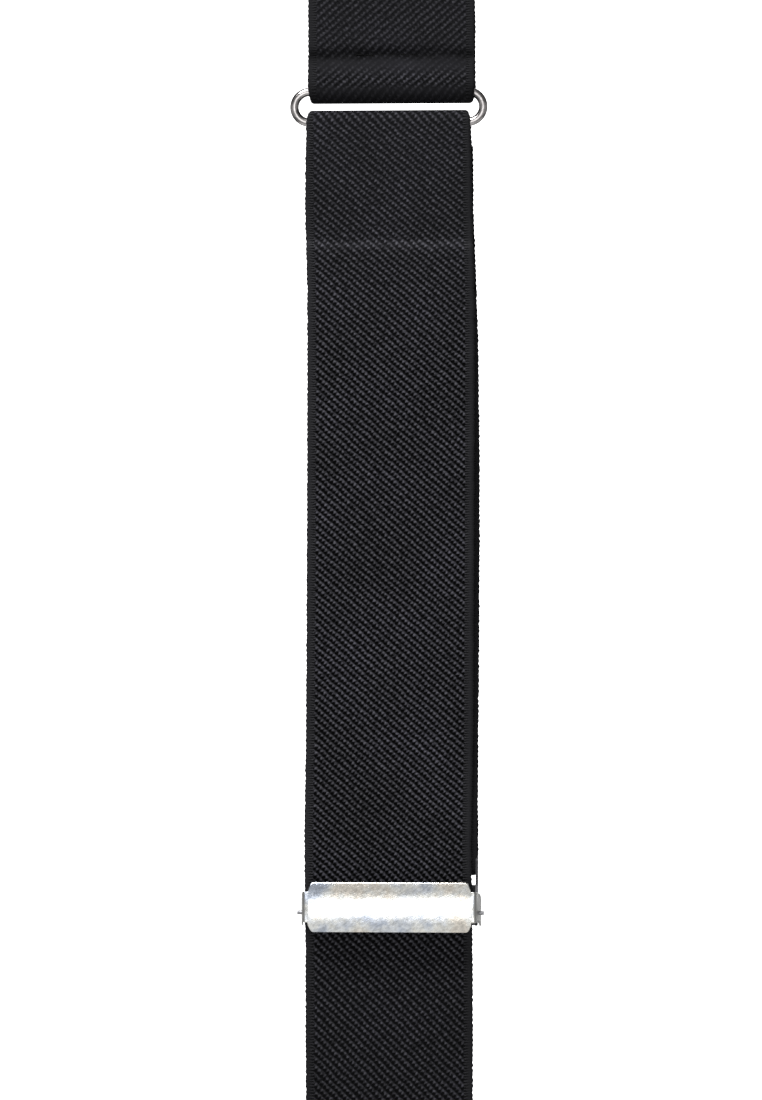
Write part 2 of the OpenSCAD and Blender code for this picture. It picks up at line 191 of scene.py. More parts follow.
softbox = {"at": (-0.4, -0.46, 0.44), "aim": (-0.12, 0, -0.35), "size": 0.45, "watts": 9.2}
glow = bpy.data.lights.new("softboxTop", "AREA")
glow.shape = "SQUARE"
glow.size = softbox["size"]
glow.energy = softbox["watts"]
lamp = bpy.data.objects.new("softboxTop", glow)
bpy.context.collection.objects.link(lamp)
lamp.location = softbox["at"]
away = np.array(softbox["at"]) - np.array(softbox["aim"])
lamp.rotation_euler = (math.acos(away[2] / np.linalg.norm(away)), 0, math.atan2(away[1], away[0]) + pi / 2)
print("stage: camera and lights")


# lengths in millimetres
# the float colour of the lump tops is painted highlight on black yarn, and the groove colour between the lumps is
# painted shade; the selvedge's light and dark colours are painted highlight and shade on its ribs
webbingLook = {"end": 0.66, "pick": 0.575, "selvedge": 17.2, "run": 350.0,
               "grooveShade": "#010101", "float": "#59595c", "floatBlue": "#5b5a65",
               "selvedgeDark": "#0d0d0f", "selvedgeLight": "#3d3d40"}
# how high the lumps stand and how light the face is, by distance along the strap as a share of the run:
# the folded face has one pale line along a crease, is a little darker at its top end and has painted shade below the
# adjuster, where the light falls off downward; the sewn face has painted shade in its fold, which turns away from the
# light, and in the dents of its row of stitches
foldedFace = {"lumps": [(0.05, 0.7), (0.115, 0.8), (0.1175, 0.65), (0.1195, 0.65), (0.122, 0.85),
                        (0.2, 1.0), (0.54, 1.0), (0.6, 0.85)],
              "shade": [(0.0, 0.82), (0.1, 0.86), (0.115, 0.9), (0.1172, 1.65), (0.1195, 1.65), (0.1218, 0.94),
                        (0.2, 1.0), (0.54, 1.0), (0.62, 0.74)]}
sewnFace = {"lumps": [(0.0715, 0.35), (0.0745, 1.0), (0.08, 1.0), (0.0835, 0.3), (0.09, 0.15),
                      (0.095, 0.7), (0.12, 0.75)],
            "shade": [(0.0715, 0.4), (0.0765, 0.75), (0.0893, 0.88), (0.0903, 0.32), (0.095, 0.32), (0.0962, 0.74)]}


def twillWebbing(name, look, state, weights=(0.24, 0.12, 0.13), contrast=1.0):
    # Polyester and rubber webbing, woven 2/1 twill: matte black, slanting rows of small lumps with pits between.
    # The ends lie 0.66 mm apart and the picks 0.575 mm; relief = sum of three cosines over the twill's lattice,
    # the first a quarter turn late, which leaves as many pits as lumps.
    made, tree = newMaterial(name)
    uv = put(tree, "ShaderNodeUVMap", {"uv_map": "weave"})
    wobble = put(tree, "ShaderNodeTexNoise", links={"Vector": uv.outputs[0], "Scale": 0.35, "Detail": 2.0})
    shifted = put(tree, "ShaderNodeVectorMath", {"operation": "MULTIPLY_ADD"}, {
        0: wobble.outputs["Color"], 1: (0.5, 0.5, 0.0), 2: uv.outputs[0]})
    fine = put(tree, "ShaderNodeTexNoise", links={"Vector": uv.outputs[0], "Scale": 1.7, "Detail": 1.0})
    jittered = put(tree, "ShaderNodeVectorMath", {"operation": "MULTIPLY_ADD"}, {
        0: fine.outputs["Color"], 1: (0.35, 0.35, 0.0), 2: shifted.outputs[0]})
    axes = put(tree, "ShaderNodeSeparateXYZ", links={0: jittered.outputs[0]})
    col = put(tree, "ShaderNodeMath", {"operation": "MULTIPLY"}, {0: axes.outputs[0], 1: 2 * pi / 3 / look["end"]})
    row = put(tree, "ShaderNodeMath", {"operation": "MULTIPLY"}, {0: axes.outputs[1], 1: 2 * pi / 3 / look["pick"]})
    lump = None
    for (a, b), late, weight in zip(((-1, 1), (2, 1), (1, 2)), (1.6, 0.0, 0.0), weights):
        first = put(tree, "ShaderNodeMath", {"operation": "MULTIPLY_ADD"}, {0: row.outputs[0], 1: float(b), 2: late})
        phase = put(tree, "ShaderNodeMath", {"operation": "MULTIPLY_ADD"}, {
            0: col.outputs[0], 1: float(a), 2: first.outputs[0]})
        wave = put(tree, "ShaderNodeMath", {"operation": "COSINE"}, {0: phase.outputs[0]})
        lump = put(tree, "ShaderNodeMath", {"operation": "MULTIPLY_ADD"}, {
            0: wave.outputs[0], 1: weight, 2: lump.outputs[0] if lump else 0.5})
    # along the strap: pressed flat in places, with painted shade in the fold, in the sewn row and low on the strap
    plain = put(tree, "ShaderNodeSeparateXYZ", links={0: uv.outputs[0]})
    drift = put(tree, "ShaderNodeMath", {"operation": "MULTIPLY_ADD"}, {
        0: wobble.outputs["Fac"], 1: 2.6, 2: plain.outputs[1]})
    along = put(tree, "ShaderNodeMath", {"operation": "MULTIPLY_ADD"}, {
        0: drift.outputs[0], 1: 1 / look["run"], 2: -1.3 / look["run"]})
    raised = greyRamp(tree, along.outputs[0], state["lumps"])
    shade = greyRamp(tree, along.outputs[0], state["shade"])
    # selvedge: a plain band 2 mm wide, ribbed across on its inner half
    out = put(tree, "ShaderNodeMath", {"operation": "ABSOLUTE"}, {0: plain.outputs[0]})
    band = put(tree, "ShaderNodeMapRange", {"interpolation_type": "SMOOTHSTEP"}, {
        0: out.outputs[0], 1: look["selvedge"] - 0.2, 2: look["selvedge"] + 0.2})
    turnRib = put(tree, "ShaderNodeMath", {"operation": "MULTIPLY"}, {0: axes.outputs[1], 1: 2 * pi / look["pick"]})
    rib = put(tree, "ShaderNodeMath", {"operation": "SINE"}, {0: turnRib.outputs[0]})
    swell = put(tree, "ShaderNodeMapRange", links={0: out.outputs[0], 1: 17.4, 2: 18.4, 3: 0.55 * contrast, 4: 0.04})
    ribbed = put(tree, "ShaderNodeMath", {"operation": "MULTIPLY"}, {0: rib.outputs[0], 1: swell.outputs[0]})
    ribHeight = put(tree, "ShaderNodeMath", {"operation": "ADD"}, {0: ribbed.outputs[0], 1: 0.42})
    flatter = put(tree, "ShaderNodeMix", {"data_type": "FLOAT"}, {0: raised.outputs[0], 2: 0.5, 3: lump.outputs[0]})
    relief = put(tree, "ShaderNodeMix", {"data_type": "FLOAT"}, {
        0: band.outputs[0], 2: flatter.outputs[0], 3: ribHeight.outputs[0]})
    # every lump's painted highlight is brighter or dimmer than the next, at random
    speck = put(tree, "ShaderNodeTexNoise", links={
        "Vector": uv.outputs[0], "Scale": 1.3, "Detail": 1.0, "Roughness": 0.6})
    vary = put(tree, "ShaderNodeMapRange", links={0: speck.outputs["Fac"], 1: 0.3, 2: 0.7, 3: 0.35, 4: 1.6})
    cloud = put(tree, "ShaderNodeTexNoise", links={"Vector": uv.outputs[0], "Scale": 0.05, "Detail": 2.0})
    tone = put(tree, "ShaderNodeMapRange", links={0: cloud.outputs["Fac"], 1: 0.3, 2: 0.7, 3: 0.86, 4: 1.12})
    # colour by lump height: the tops get the float colour as painted highlight, the pits the groove colour as painted
    # shade
    glintPeak = put(tree, "ShaderNodeMapRange", {"interpolation_type": "SMOOTHSTEP"}, {
        0: lump.outputs[0], 1: 0.3, 2: 1.12, 3: 0.2 * (1 - contrast), 4: 0.2 + 0.8 * contrast})
    unevenGlint = put(tree, "ShaderNodeMath", {"operation": "MULTIPLY"}, {0: glintPeak.outputs[0], 1: vary.outputs[0]})
    lumpGlint = put(tree, "ShaderNodeMix", {"data_type": "FLOAT"}, {0: raised.outputs[0], 2: 0.2, 3: unevenGlint.outputs[0]})
    glintTone = put(tree, "ShaderNodeMix", {"data_type": "RGBA"}, {
        0: cloud.outputs["Fac"], 6: linear(look["float"]), 7: linear(look["floatBlue"])})
    twill = put(tree, "ShaderNodeMix", {"data_type": "RGBA"}, {
        0: lumpGlint.outputs[0], 6: linear(look["grooveShade"]), 7: glintTone.outputs[2]})
    # the selvedge ribs: light on their tops and dark between them, as painted highlight and shade
    ribColour = put(tree, "ShaderNodeMix", {"data_type": "RGBA"}, {
        0: ribHeight.outputs[0], 6: linear(look["selvedgeDark"]), 7: linear(look["selvedgeLight"])})
    both = put(tree, "ShaderNodeMix", {"data_type": "RGBA"}, {
        0: band.outputs[0], 6: twill.outputs[2], 7: ribColour.outputs[2]})
    level = put(tree, "ShaderNodeMath", {"operation": "MULTIPLY"}, {0: tone.outputs[0], 1: shade.outputs[0]})
    final = put(tree, "ShaderNodeVectorMath", {"operation": "SCALE"}, {0: both.outputs[2], "Scale": level.outputs[0]})
    bump = put(tree, "ShaderNodeBump", links={
        "Height": relief.outputs[0], "Strength": 1.0, "Distance": (0.12 + 0.13 * contrast) * mm})
    rough = put(tree, "ShaderNodeMapRange", links={0: lumpGlint.outputs[0], 1: 0.0, 2: 1.0, 3: 0.85, 4: 0.55})
    skin = put(tree, "ShaderNodeBsdfPrincipled", links={
        "Base Color": final.outputs[0], "Roughness": rough.outputs[0], "Normal": bump.outputs[0],
        "Specular IOR Level": 0.05})
    put(tree, "ShaderNodeOutputMaterial", links={0: skin.outputs[0]})
    return made


def metal(name, colour, roughness, scratch, tint=0.0, tarnish=0.15, dent=0.01 * mm, blotch=150.0):
    # Nickel-plated steel: bright and slightly warm, dulled by hairline scratches and polishing marks of 0.2 mm
    made, tree = newMaterial(name)
    place = put(tree, "ShaderNodeTexCoord")
    strokes = []
    for angle, stretch in ((0.5, 14.0), (-0.35, 10.0), (1.9, 9.0)):
        turned = put(tree, "ShaderNodeMapping", {"vector_type": "TEXTURE"}, {
            "Vector": place.outputs["Object"], "Rotation": (0, angle, 0), "Scale": (stretch, 1.0, 1.0)})
        strokes.append(put(tree, "ShaderNodeTexNoise", links={
            "Vector": turned.outputs[0], "Scale": 1 / (0.2 * mm), "Detail": 3.0, "Roughness": 0.6}))
    mixed = put(tree, "ShaderNodeMath", {"operation": "MULTIPLY"}, {
        0: strokes[0].outputs["Fac"], 1: strokes[1].outputs["Fac"]})
    marks = put(tree, "ShaderNodeMath", {"operation": "MULTIPLY_ADD"}, {
        0: mixed.outputs[0], 1: 2.0, 2: strokes[2].outputs["Fac"]})
    # plating wears in clouds, bluish where it is thick and warm where it is thin
    cloud = put(tree, "ShaderNodeTexNoise", links={
        "Vector": place.outputs["Object"], "Scale": blotch, "Detail": 4.0, "Roughness": 0.6})
    wear = put(tree, "ShaderNodeMapRange", links={
        0: cloud.outputs["Fac"], 1: 0.35, 2: 0.65, 3: roughness * 0.75, 4: roughness * 1.35})
    rough = put(tree, "ShaderNodeMath", {"operation": "MULTIPLY_ADD"}, {
        0: marks.outputs[0], 1: scratch * 0.15, 2: wear.outputs[0]})
    hue = greyRamp(tree, cloud.outputs["Fac"], [
        (0.36, "#b4c0d6"), (0.44, "#e4eaf4"), (0.52, "#f7f7f3"), (0.6, "#f0e6d8"), (0.7, "#cbc6be")])
    tinted = put(tree, "ShaderNodeMix", {"data_type": "RGBA", "blend_type": "MULTIPLY"}, {
        0: tint, 6: linear(colour), 7: hue.outputs[0]})
    # a thin film of tarnish in slanting flecks of 0.7 mm
    slanted = put(tree, "ShaderNodeMapping", {"vector_type": "TEXTURE"}, {
        "Vector": place.outputs["Object"], "Rotation": (0, -0.6, 0), "Scale": (1.8, 1.0, 1.0)})
    film = put(tree, "ShaderNodeTexNoise", links={
        "Vector": slanted.outputs[0], "Scale": 1500.0, "Detail": 5.0, "Roughness": 0.7})
    darker = put(tree, "ShaderNodeMapRange", links={
        0: film.outputs["Fac"], 1: 0.38, 2: 0.66, 3: 1.08, 4: 1.08 - tarnish})
    worn = put(tree, "ShaderNodeVectorMath", {"operation": "SCALE"}, {
        0: tinted.outputs[2], "Scale": darker.outputs[0]})
    dents = put(tree, "ShaderNodeTexNoise", links={"Vector": place.outputs["Object"], "Scale": 380.0, "Detail": 2.0})
    wavy = put(tree, "ShaderNodeBump", links={"Height": dents.outputs["Fac"], "Strength": 1.0, "Distance": dent})
    bump = put(tree, "ShaderNodeBump", links={
        "Height": marks.outputs[0], "Strength": scratch, "Distance": 0.03 * mm, "Normal": wavy.outputs[0]})
    skin = put(tree, "ShaderNodeBsdfPrincipled", links={
        "Base Color": worn.outputs[0], "Metallic": 1.0, "Roughness": rough.outputs[0], "Normal": bump.outputs[0]})
    put(tree, "ShaderNodeOutputMaterial", links={0: skin.outputs[0]})
    return made


def grained(name, low, high, size, depth, roughness):
    # Full-grain leather or a moulded grip: cells of a few tenths of a millimetre with fine creases between
    made, tree = newMaterial(name)
    place = put(tree, "ShaderNodeTexCoord")
    bent = put(tree, "ShaderNodeTexNoise", links={
        "Vector": place.outputs["Object"], "Scale": 0.3 / size, "Detail": 3.0})
    moved = put(tree, "ShaderNodeVectorMath", {"operation": "MULTIPLY_ADD"}, {
        0: bent.outputs["Color"], 1: (size, size, size), 2: place.outputs["Object"]})
    cells = put(tree, "ShaderNodeTexVoronoi", {"feature": "DISTANCE_TO_EDGE"}, {
        "Vector": moved.outputs[0], "Scale": 1 / size})
    crease = put(tree, "ShaderNodeMapRange", {"interpolation_type": "SMOOTHSTEP"}, {
        0: cells.outputs["Distance"], 1: 0.0, 2: 0.22})
    colour = put(tree, "ShaderNodeMix", {"data_type": "RGBA"}, {
        0: crease.outputs[0], 6: linear(low), 7: linear(high)})
    bump = put(tree, "ShaderNodeBump", links={"Height": crease.outputs[0], "Strength": 0.5, "Distance": depth})
    worn = put(tree, "ShaderNodeMapRange", links={
        0: bent.outputs["Fac"], 1: 0.3, 2: 0.7, 3: roughness - 0.08, 4: roughness + 0.1})
    skin = put(tree, "ShaderNodeBsdfPrincipled", links={
        "Base Color": colour.outputs[2], "Roughness": worn.outputs[0], "Normal": bump.outputs[0],
        "Specular IOR Level": 0.4})
    put(tree, "ShaderNodeOutputMaterial", links={0: skin.outputs[0]})
    return made


def thread(name, dark, light):
    # Bonded polyester sewing thread: two plies twisted at a slant, nearly matte
    made, tree = newMaterial(name)
    place = put(tree, "ShaderNodeTexCoord")
    twist = put(tree, "ShaderNodeTexWave", {"bands_direction": "DIAGONAL"}, {
        "Vector": place.outputs["Object"], "Scale": 900.0, "Distortion": 1.0})
    colour = put(tree, "ShaderNodeMix", {"data_type": "RGBA"}, {
        0: twist.outputs["Fac"], 6: linear(dark), 7: linear(light)})
    bump = put(tree, "ShaderNodeBump", links={"Height": twist.outputs["Fac"], "Strength": 0.5, "Distance": 0.08 * mm})
    skin = put(tree, "ShaderNodeBsdfPrincipled", links={
        "Base Color": colour.outputs[2], "Roughness": 0.6, "Specular IOR Level": 0.1, "Normal": bump.outputs[0]})
    put(tree, "ShaderNodeOutputMaterial", links={0: skin.outputs[0]})
    return made


webbingFace = twillWebbing("black twill webbing", webbingLook, foldedFace)
webbingBack = twillWebbing("black twill webbing, inner face", webbingLook, sewnFace,
                           weights=(0.29, 0.13, 0.1), contrast=0.65)
platedRing = metal("nickel plated wire", "#c6c2c1", 0.15, 0.35, tarnish=0.4)
platedSteel = metal("nickel plated strip, scratched", "#fafaf8", 0.09, 0.6,
                    tint=0.75, tarnish=0.42, dent=0.05 * mm, blotch=125.0)
platedEar = metal("nickel plated strip, bent ears", "#c2c2bf", 0.3, 0.3, tarnish=0.15)
platedClip = metal("nickel plated strip, brushed", "#a9a9ab", 0.32, 0.5)
# the adjuster's frame and jaw are coloured dark grey as painted shade, for the shadow they lie in behind the plate
# and strap
shadedFrameSteel = metal("steel strip, darkened as painted shade", "#3f3f41", 0.35, 0.4)
darkSteel = metal("steel wire, unplated", "#8d8d90", 0.3, 0.3)
blackLeather = grained("black leather, full grain", "#0d0c0b", "#1d1a19", 0.9 * mm, 0.12 * mm, 0.5)
splitLeather = grained("black leather, split side", "#171413", "#27221f", 0.5 * mm, 0.08 * mm, 0.8)
gripNylon = grained("moulded nylon, fine spark texture", "#151516", "#1f1f21", 0.35 * mm, 0.04 * mm, 0.6)
sewingThread = thread("black sewing thread", "#020202", "#0b0b0c")
paleFloor, tree = newMaterial("pale matte floor")
place = put(tree, "ShaderNodeTexCoord")
dust = put(tree, "ShaderNodeTexNoise", links={"Vector": place.outputs["Object"], "Scale": 12.0})
paleTone = put(tree, "ShaderNodeMix", {"data_type": "RGBA"}, {
    0: dust.outputs["Fac"], 6: linear("#f0f0ef"), 7: linear("#f4f4f3")})
matte = put(tree, "ShaderNodeBsdfPrincipled", links={"Base Color": paleTone.outputs[2], "Roughness": 0.9})
put(tree, "ShaderNodeOutputMaterial", links={0: matte.outputs[0]})
print("materials")

floor = {"radius": 0.55, "z": -0.7}
ring = np.linspace(0, 2 * pi, 97)[:-1]
discPoints = np.stack([np.stack([r * np.cos(ring), r * np.sin(ring), np.full(96, floor["z"])], 1)
                       for r in (0.001, floor["radius"])], 0)
disc = gridMesh("floor", discPoints, np.zeros((2, 97, 2)), paleFloor, capped=False)


# foldIn, clipIn and adjusterIn are the inner radii of the loops; slant is the turn at the shoulder in degrees
webbing = {"half": 19.2 * mm, "thick": 1.6 * mm, "step": 0.24 * mm, "scallop": 0.09 * mm, "scallopPitch": 1.15 * mm,
           "foldIn": 1.15 * mm, "clipIn": 1.35 * mm, "adjusterIn": 0.55 * mm, "slant": 25.0, "shoulder": 55.0 * mm}
# the tail of the ring's loop with its seam, heights above the middle of the upper bar; the flat length
# in front of the shoulder and the length from the shoulder to the patch
shoulderRun = {"tail": 18 * mm, "seam": 7.4 * mm, "front": 8 * mm, "back": 165.4 * mm}
# heights above the clip's bar: where the two layers meet, where the tail ends, and the two sewn rows in mm
clipLoop = {"meet": 9.5 * mm, "tail": 14 * mm, "rows": (10.5, 12.5)}


def section(half, thick):
    # the cross-section: two flat faces joined by half-round edges, as (across, out) pairs
    r = thick / 2
    face = np.linspace(-1, 1, 15) * (half - r)
    edge = np.radians(np.array([60, 30, 0, -30, -60]))
    across = np.concatenate([face, half - r + r * np.cos(edge), face[::-1], -(half - r + r * np.cos(edge))])
    out = np.concatenate([np.full(15, r), r * np.sin(edge), np.full(15, -r), -r * np.sin(edge)])
    return across, out


def woven(name, lay, at, material, twill, seed, pinches=(), narrow=(), eased=()):
    # lay(v, across, out) places the strap, v being the way along it.
    # edge = half width + scallop * cos(2 pi v / pitch), plus a roughness drawn every 0.6 mm;
    # a row of stitches pulls the outer face in by exp(-(v / reach)^2), deeper at some threads than others;
    # a fold narrows the strap by the same bell with its own reach
    across, out = section(webbing["half"], webbing["thick"])
    v = at[:, None]
    a = np.broadcast_to(across, (len(at), len(across))).copy()
    o = np.broadcast_to(out, a.shape).copy()
    rng = np.random.default_rng(seed)
    marks = np.arange(0, at[-1] + 1 * mm, 0.6 * mm)
    rough = np.interp(at, marks, rng.normal(0, 1, len(marks)))[:, None]
    threads = np.arange(-20, 20, 1.35) * mm
    edge = np.clip((np.abs(a) - (webbing["half"] - 1.2 * mm)) / (1.2 * mm), 0, 1) ** 2
    wave = np.cos(2 * pi * v / webbing["scallopPitch"] + 1.5 * np.sign(a))
    a += np.sign(a) * edge * webbing["scallop"] * (wave * 0.7 + 0.5 * rough)
    for where, amount, *reach in narrow:
        a *= 1 - amount * np.exp(-((v - where) / (reach[0] if reach else 1.6 * mm)) ** 2)
    for where, depth, *reach in pinches:
        line = where + np.interp(across, threads, rng.normal(0, 0.35, len(threads))) * mm
        bell = np.exp(-((v - line) / (reach[0] if reach else 0.95 * mm)) ** 2)
        pull = np.interp(across, threads, rng.uniform(0.25, 1.0, len(threads)))
        o -= np.where(out > 0, 1.0, 0.0) * depth * bell * pull * (1 - edge)
    points = lay(v, a, o)
    uv = np.empty((len(at), len(across) + 1, 2))
    uv[:, :-1, 0] = twill * a / mm
    uv[:, -1, 0] = uv[:, 0, 0]
    # webbing under tension shows its picks further apart
    step = np.gradient(at) / (1 + np.interp(at, *eased)) if len(eased) else np.gradient(at)
    uv[:, :, 1] = np.cumsum(step)[:, None] / mm
    piece = gridMesh(name, points, uv, material)
    return piece


def inPlane(x, path, side, drift=None):
    # a strap whose middle line lies in the plane X = x; out is square to the line, toward side
    points, at = evenly(path, webbing["step"])
    t = np.gradient(points, axis=0)
    t /= np.linalg.norm(t, axis=1)[:, None]
    normal = side * np.stack([t[:, 1], -t[:, 0]], 1)

    def lay(v, a, o):
        shift = 0 if drift is None else drift(points[:, 1])[:, None]
        return np.stack([x + a + shift, points[:, 0][:, None] + o * normal[:, 0][:, None],
                         points[:, 1][:, None] + o * normal[:, 1][:, None]], 2)
    return lay, at


def stitches(name, rows, body):
    # each stitch is a slim bead: length * cos, radius * sin of one angle, turned round by the other
    size = (0.95, 0.26, 0.24)
    u = np.linspace(0, pi, 9)[:, None]
    w = np.linspace(0, 2 * pi, 9)[None, :-1]
    unit = np.stack([np.cos(u) * np.ones_like(w), np.sin(u) ** 0.6 * np.cos(w), np.sin(u) ** 0.6 * np.sin(w)], 2)
    beads = []
    for place, along, out in rows:
        along = np.asarray(along, float) / np.linalg.norm(along)
        out = np.asarray(out, float) / np.linalg.norm(out)
        third = np.cross(along, out)
        beads.append(np.asarray(place, float) + mm * (
            size[0] * unit[..., :1] * along + size[1] * unit[..., 1:2] * out + size[2] * unit[..., 2:] * third))
    n, m = unit.shape[:2]
    i = np.arange(n - 1)[:, None]
    j = np.arange(m)[None, :]
    quads = np.stack([i * m + j, i * m + (j + 1) % m, (i + 1) * m + (j + 1) % m, (i + 1) * m + j], -1).reshape(-1, 4)
    count = len(beads)
    faces = (quads[None] + (np.arange(count) * n * m)[:, None, None]).reshape(-1, 4)
    mesh = bpy.data.meshes.new(name)
    mesh.from_pydata(np.concatenate(beads).reshape(-1, 3).tolist(), [], faces.tolist())
    mesh.polygons.foreach_set("use_smooth", np.ones(len(faces), bool))
    piece = bpy.data.objects.new(name, mesh)
    bpy.context.collection.objects.link(piece)
    closeUp(piece)
    piece.data.materials.append(sewingThread)
    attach(piece, body)
    return piece


def closeUp(piece):
    # merges the doubled points at poles and seams, then turns every face outward
    work = bmesh.new()
    work.from_mesh(piece.data)
    bmesh.ops.remove_doubles(work, verts=work.verts, dist=1e-6)
    bmesh.ops.recalc_face_normals(work, faces=work.faces)
    work.to_mesh(piece.data)
    work.free()


def rowOfStitches(x, y, z, out, seed):
    # a sewn row across a strap: evenly spaced, each stitch a little off the line
    count, width = 13, 32.5 * mm
    rng = np.random.default_rng(seed)
    xs = x - width / 2 + width * (np.arange(count) + 0.5) / count
    return [((px + rng.normal(0, 0.08) * mm, y, z + rng.normal(0, 0.12) * mm),
             (1, 0, rng.normal(0, 0.07)), (0, out, 0)) for px in xs]


slant = math.radians(webbing["slant"] / 2)
shoulderMid = webbing["shoulder"] + webbing["thick"] / 2
advance = shoulderMid * math.tan(slant)
foldMid = webbing["foldIn"] + webbing["thick"] / 2
clipMid = webbing["clipIn"] + webbing["thick"] / 2
turnMid = webbing["adjusterIn"] + webbing["thick"] / 2

for side, k in (("left", -1), ("right", 1)):
    low, high = (np.array(c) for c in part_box(side + "_ring"))
    x, ringY, ringZ = (low + high) / 2
    gap = (high[2] - low[2]) / 2 - 1.0 * mm
    top, bottom = ringZ + gap, ringZ - gap
    face = ringY - webbing["thick"] / 2
    tail = ringY + webbing["thick"] / 2

    # shoulder strap: up from its tail, round the ring, over the shoulder, down to the patch
    seam = top + shoulderRun["seam"]
    frontEnd = -webbing["shoulder"] * math.cos(slant) - pi / 2 * advance * math.sin(slant)
    loop = np.concatenate([
        [(tail, top + shoulderRun["tail"]), (tail, seam)], arc(ringY, top, foldMid, 0, -180),
        [(face, seam), (face, frontEnd - shoulderRun["front"])]])
    points, at = evenly(loop, webbing["step"])
    t = np.gradient(points, axis=0)
    t /= np.linalg.norm(t, axis=1)[:, None]
    loopLength = at[-1]
    bendLength = pi * shoulderMid / math.cos(slant)
    crossing = loopLength + shoulderRun["front"]
    total = crossing + bendLength + shoulderRun["back"]
    at = np.arange(0, total, webbing["step"])

    strapX = -0.125

    def overShoulder(v, a, o):
        # flat until the slanted line, then round the tilted cylinder, then flat again:
        # u = q cos h - a sin h is the way round it, w = q sin h + a cos h the way along its axis
        q = v - crossing
        inLoop = (v <= loopLength)[:, 0]
        known = np.linspace(0, loopLength, len(points))
        py, pz, ty, tz = (np.interp(v[:, 0], known, c)[:, None] for c in (*points.T, *t.T))
        loopXyz = np.stack([strapX + a, py - o * tz, pz + o * ty], 2)
        u = q * math.cos(slant) - a * math.sin(slant)
        w = q * math.sin(slant) + a * math.cos(slant)
        angle = np.clip(u / shoulderMid, 0, pi)
        before, after = np.minimum(u, 0), np.maximum(u - pi * shoulderMid, 0)
        b = np.array([-math.sin(slant), 0, math.cos(slant)])
        axis = np.array([math.cos(slant), 0, math.sin(slant)])
        y = np.array([0, 1.0, 0])
        centre = np.array([strapX, 0, frontEnd])
        radial = np.sin(angle)[..., None] * b - np.cos(angle)[..., None] * y
        xyz = centre + (shoulderMid + o)[..., None] * radial + w[..., None] * axis + (before - after)[..., None] * b
        xyz[inLoop] = loopXyz[inLoop]
        if k > 0:
            xyz = xyz * np.array([-1, 1, 1])
        return xyz

    seamAt = shoulderRun["tail"] - shoulderRun["seam"]
    frontSeamAt = loopLength - (frontEnd - shoulderRun["front"] - seam)
    strap = woven(side + "_shoulderStrap", overShoulder, at, webbingBack, -k, 11 + k,
                  pinches=[(seamAt - 1.2 * mm, 0.3 * mm), (frontSeamAt + 1.0 * mm, 1.25 * mm, 1.35 * mm)],
                  narrow=[(seamAt + 7.6 * mm + foldMid * pi / 2, 0.03, 2.4 * mm)])
    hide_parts(side + "_shoulder_strap")
    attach(strap, "harness")
    sewn = stitches(side + "_ringLoopStitches",
                    rowOfStitches(x, face + 0.42 * mm, seam + 1.0 * mm, -1, seed=3)
                    + rowOfStitches(x, tail + 0.62 * mm, seam + 1.2 * mm, 1, seed=4), "harness")
    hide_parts(side + "_shoulder_stitching")

    # lower strap, front half: from behind the ring, over its lower bar, down and round the clip's bar
    clipLow, clipHigh = (np.array(c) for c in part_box(side + "_clip_loop"))
    clipBarZ = clipLow[2] + webbing["clipIn"] + webbing["thick"]
    frontY = ringY - foldMid
    legEnd = bottom - 6 * mm
    clipY = frontY + webbing["thick"] / 2
    innerY = clipY + webbing["thick"] / 2
    lower = np.concatenate([
        [(ringY + foldMid, legEnd - 0.5 * mm)], arc(ringY, bottom, foldMid, 0, 180),
        [(frontY, clipBarZ + clipLoop["meet"])], arc(clipY, clipBarZ, clipMid, 180, 360),
        [(innerY, clipBarZ + clipLoop["meet"]), (innerY, clipBarZ + clipLoop["tail"])]])

    def sway(z):
        # the hanging strap wanders sideways by half a millimetre on its way down
        return k * -1 * mm * np.interp(bottom - z, [0, 0.02, 0.04, 0.06, 0.1, 0.14, 0.165, 0.19, 0.27],
                                       [-0.7, -0.6, -0.1, -0.1, -0.2, -0.4, -0.8, -0.5, -0.35])

    lay, at = inPlane(x, lower, 1, sway)
    # lengths from the strap's start: over the ring, off the ring, a crease, the clip's bar
    hidden = bottom - legEnd + 0.5 * mm
    overAt = hidden + foldMid * pi / 2
    straight = hidden + foldMid * pi
    imprint = straight + 28.6 * mm
    downAt = straight + (bottom - clipBarZ)
    frontHalf = woven(side + "_lowerStrapFront", lay, at, webbingFace, 1, 21 + k,
                      pinches=[(imprint, -0.22 * mm)] + [(downAt - h * mm, 0.25 * mm) for h in clipLoop["rows"]],
                      narrow=[(overAt, 0.025), (overAt, 0.02, 12 * mm), (downAt + clipMid * pi / 2, 0.025, 7 * mm)],
                      eased=([straight + 0.166, straight + 0.18], [0.0, 0.12]))
    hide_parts(side + "_ring_wrap", side + "_front_run", side + "_clip_loop")
    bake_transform(frontHalf)
    clipSewn = stitches(side + "_clipLoopStitches", sum([
        rowOfStitches(x, frontY - 0.62 * mm, clipBarZ + h * mm, -1, seed=5 + k)
        + rowOfStitches(x, innerY + 0.62 * mm, clipBarZ + h * mm, 1, seed=7 + k)
        for h in clipLoop["rows"]], []), side + "_strap_end")
    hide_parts(side + "_clip_loop_stitching")

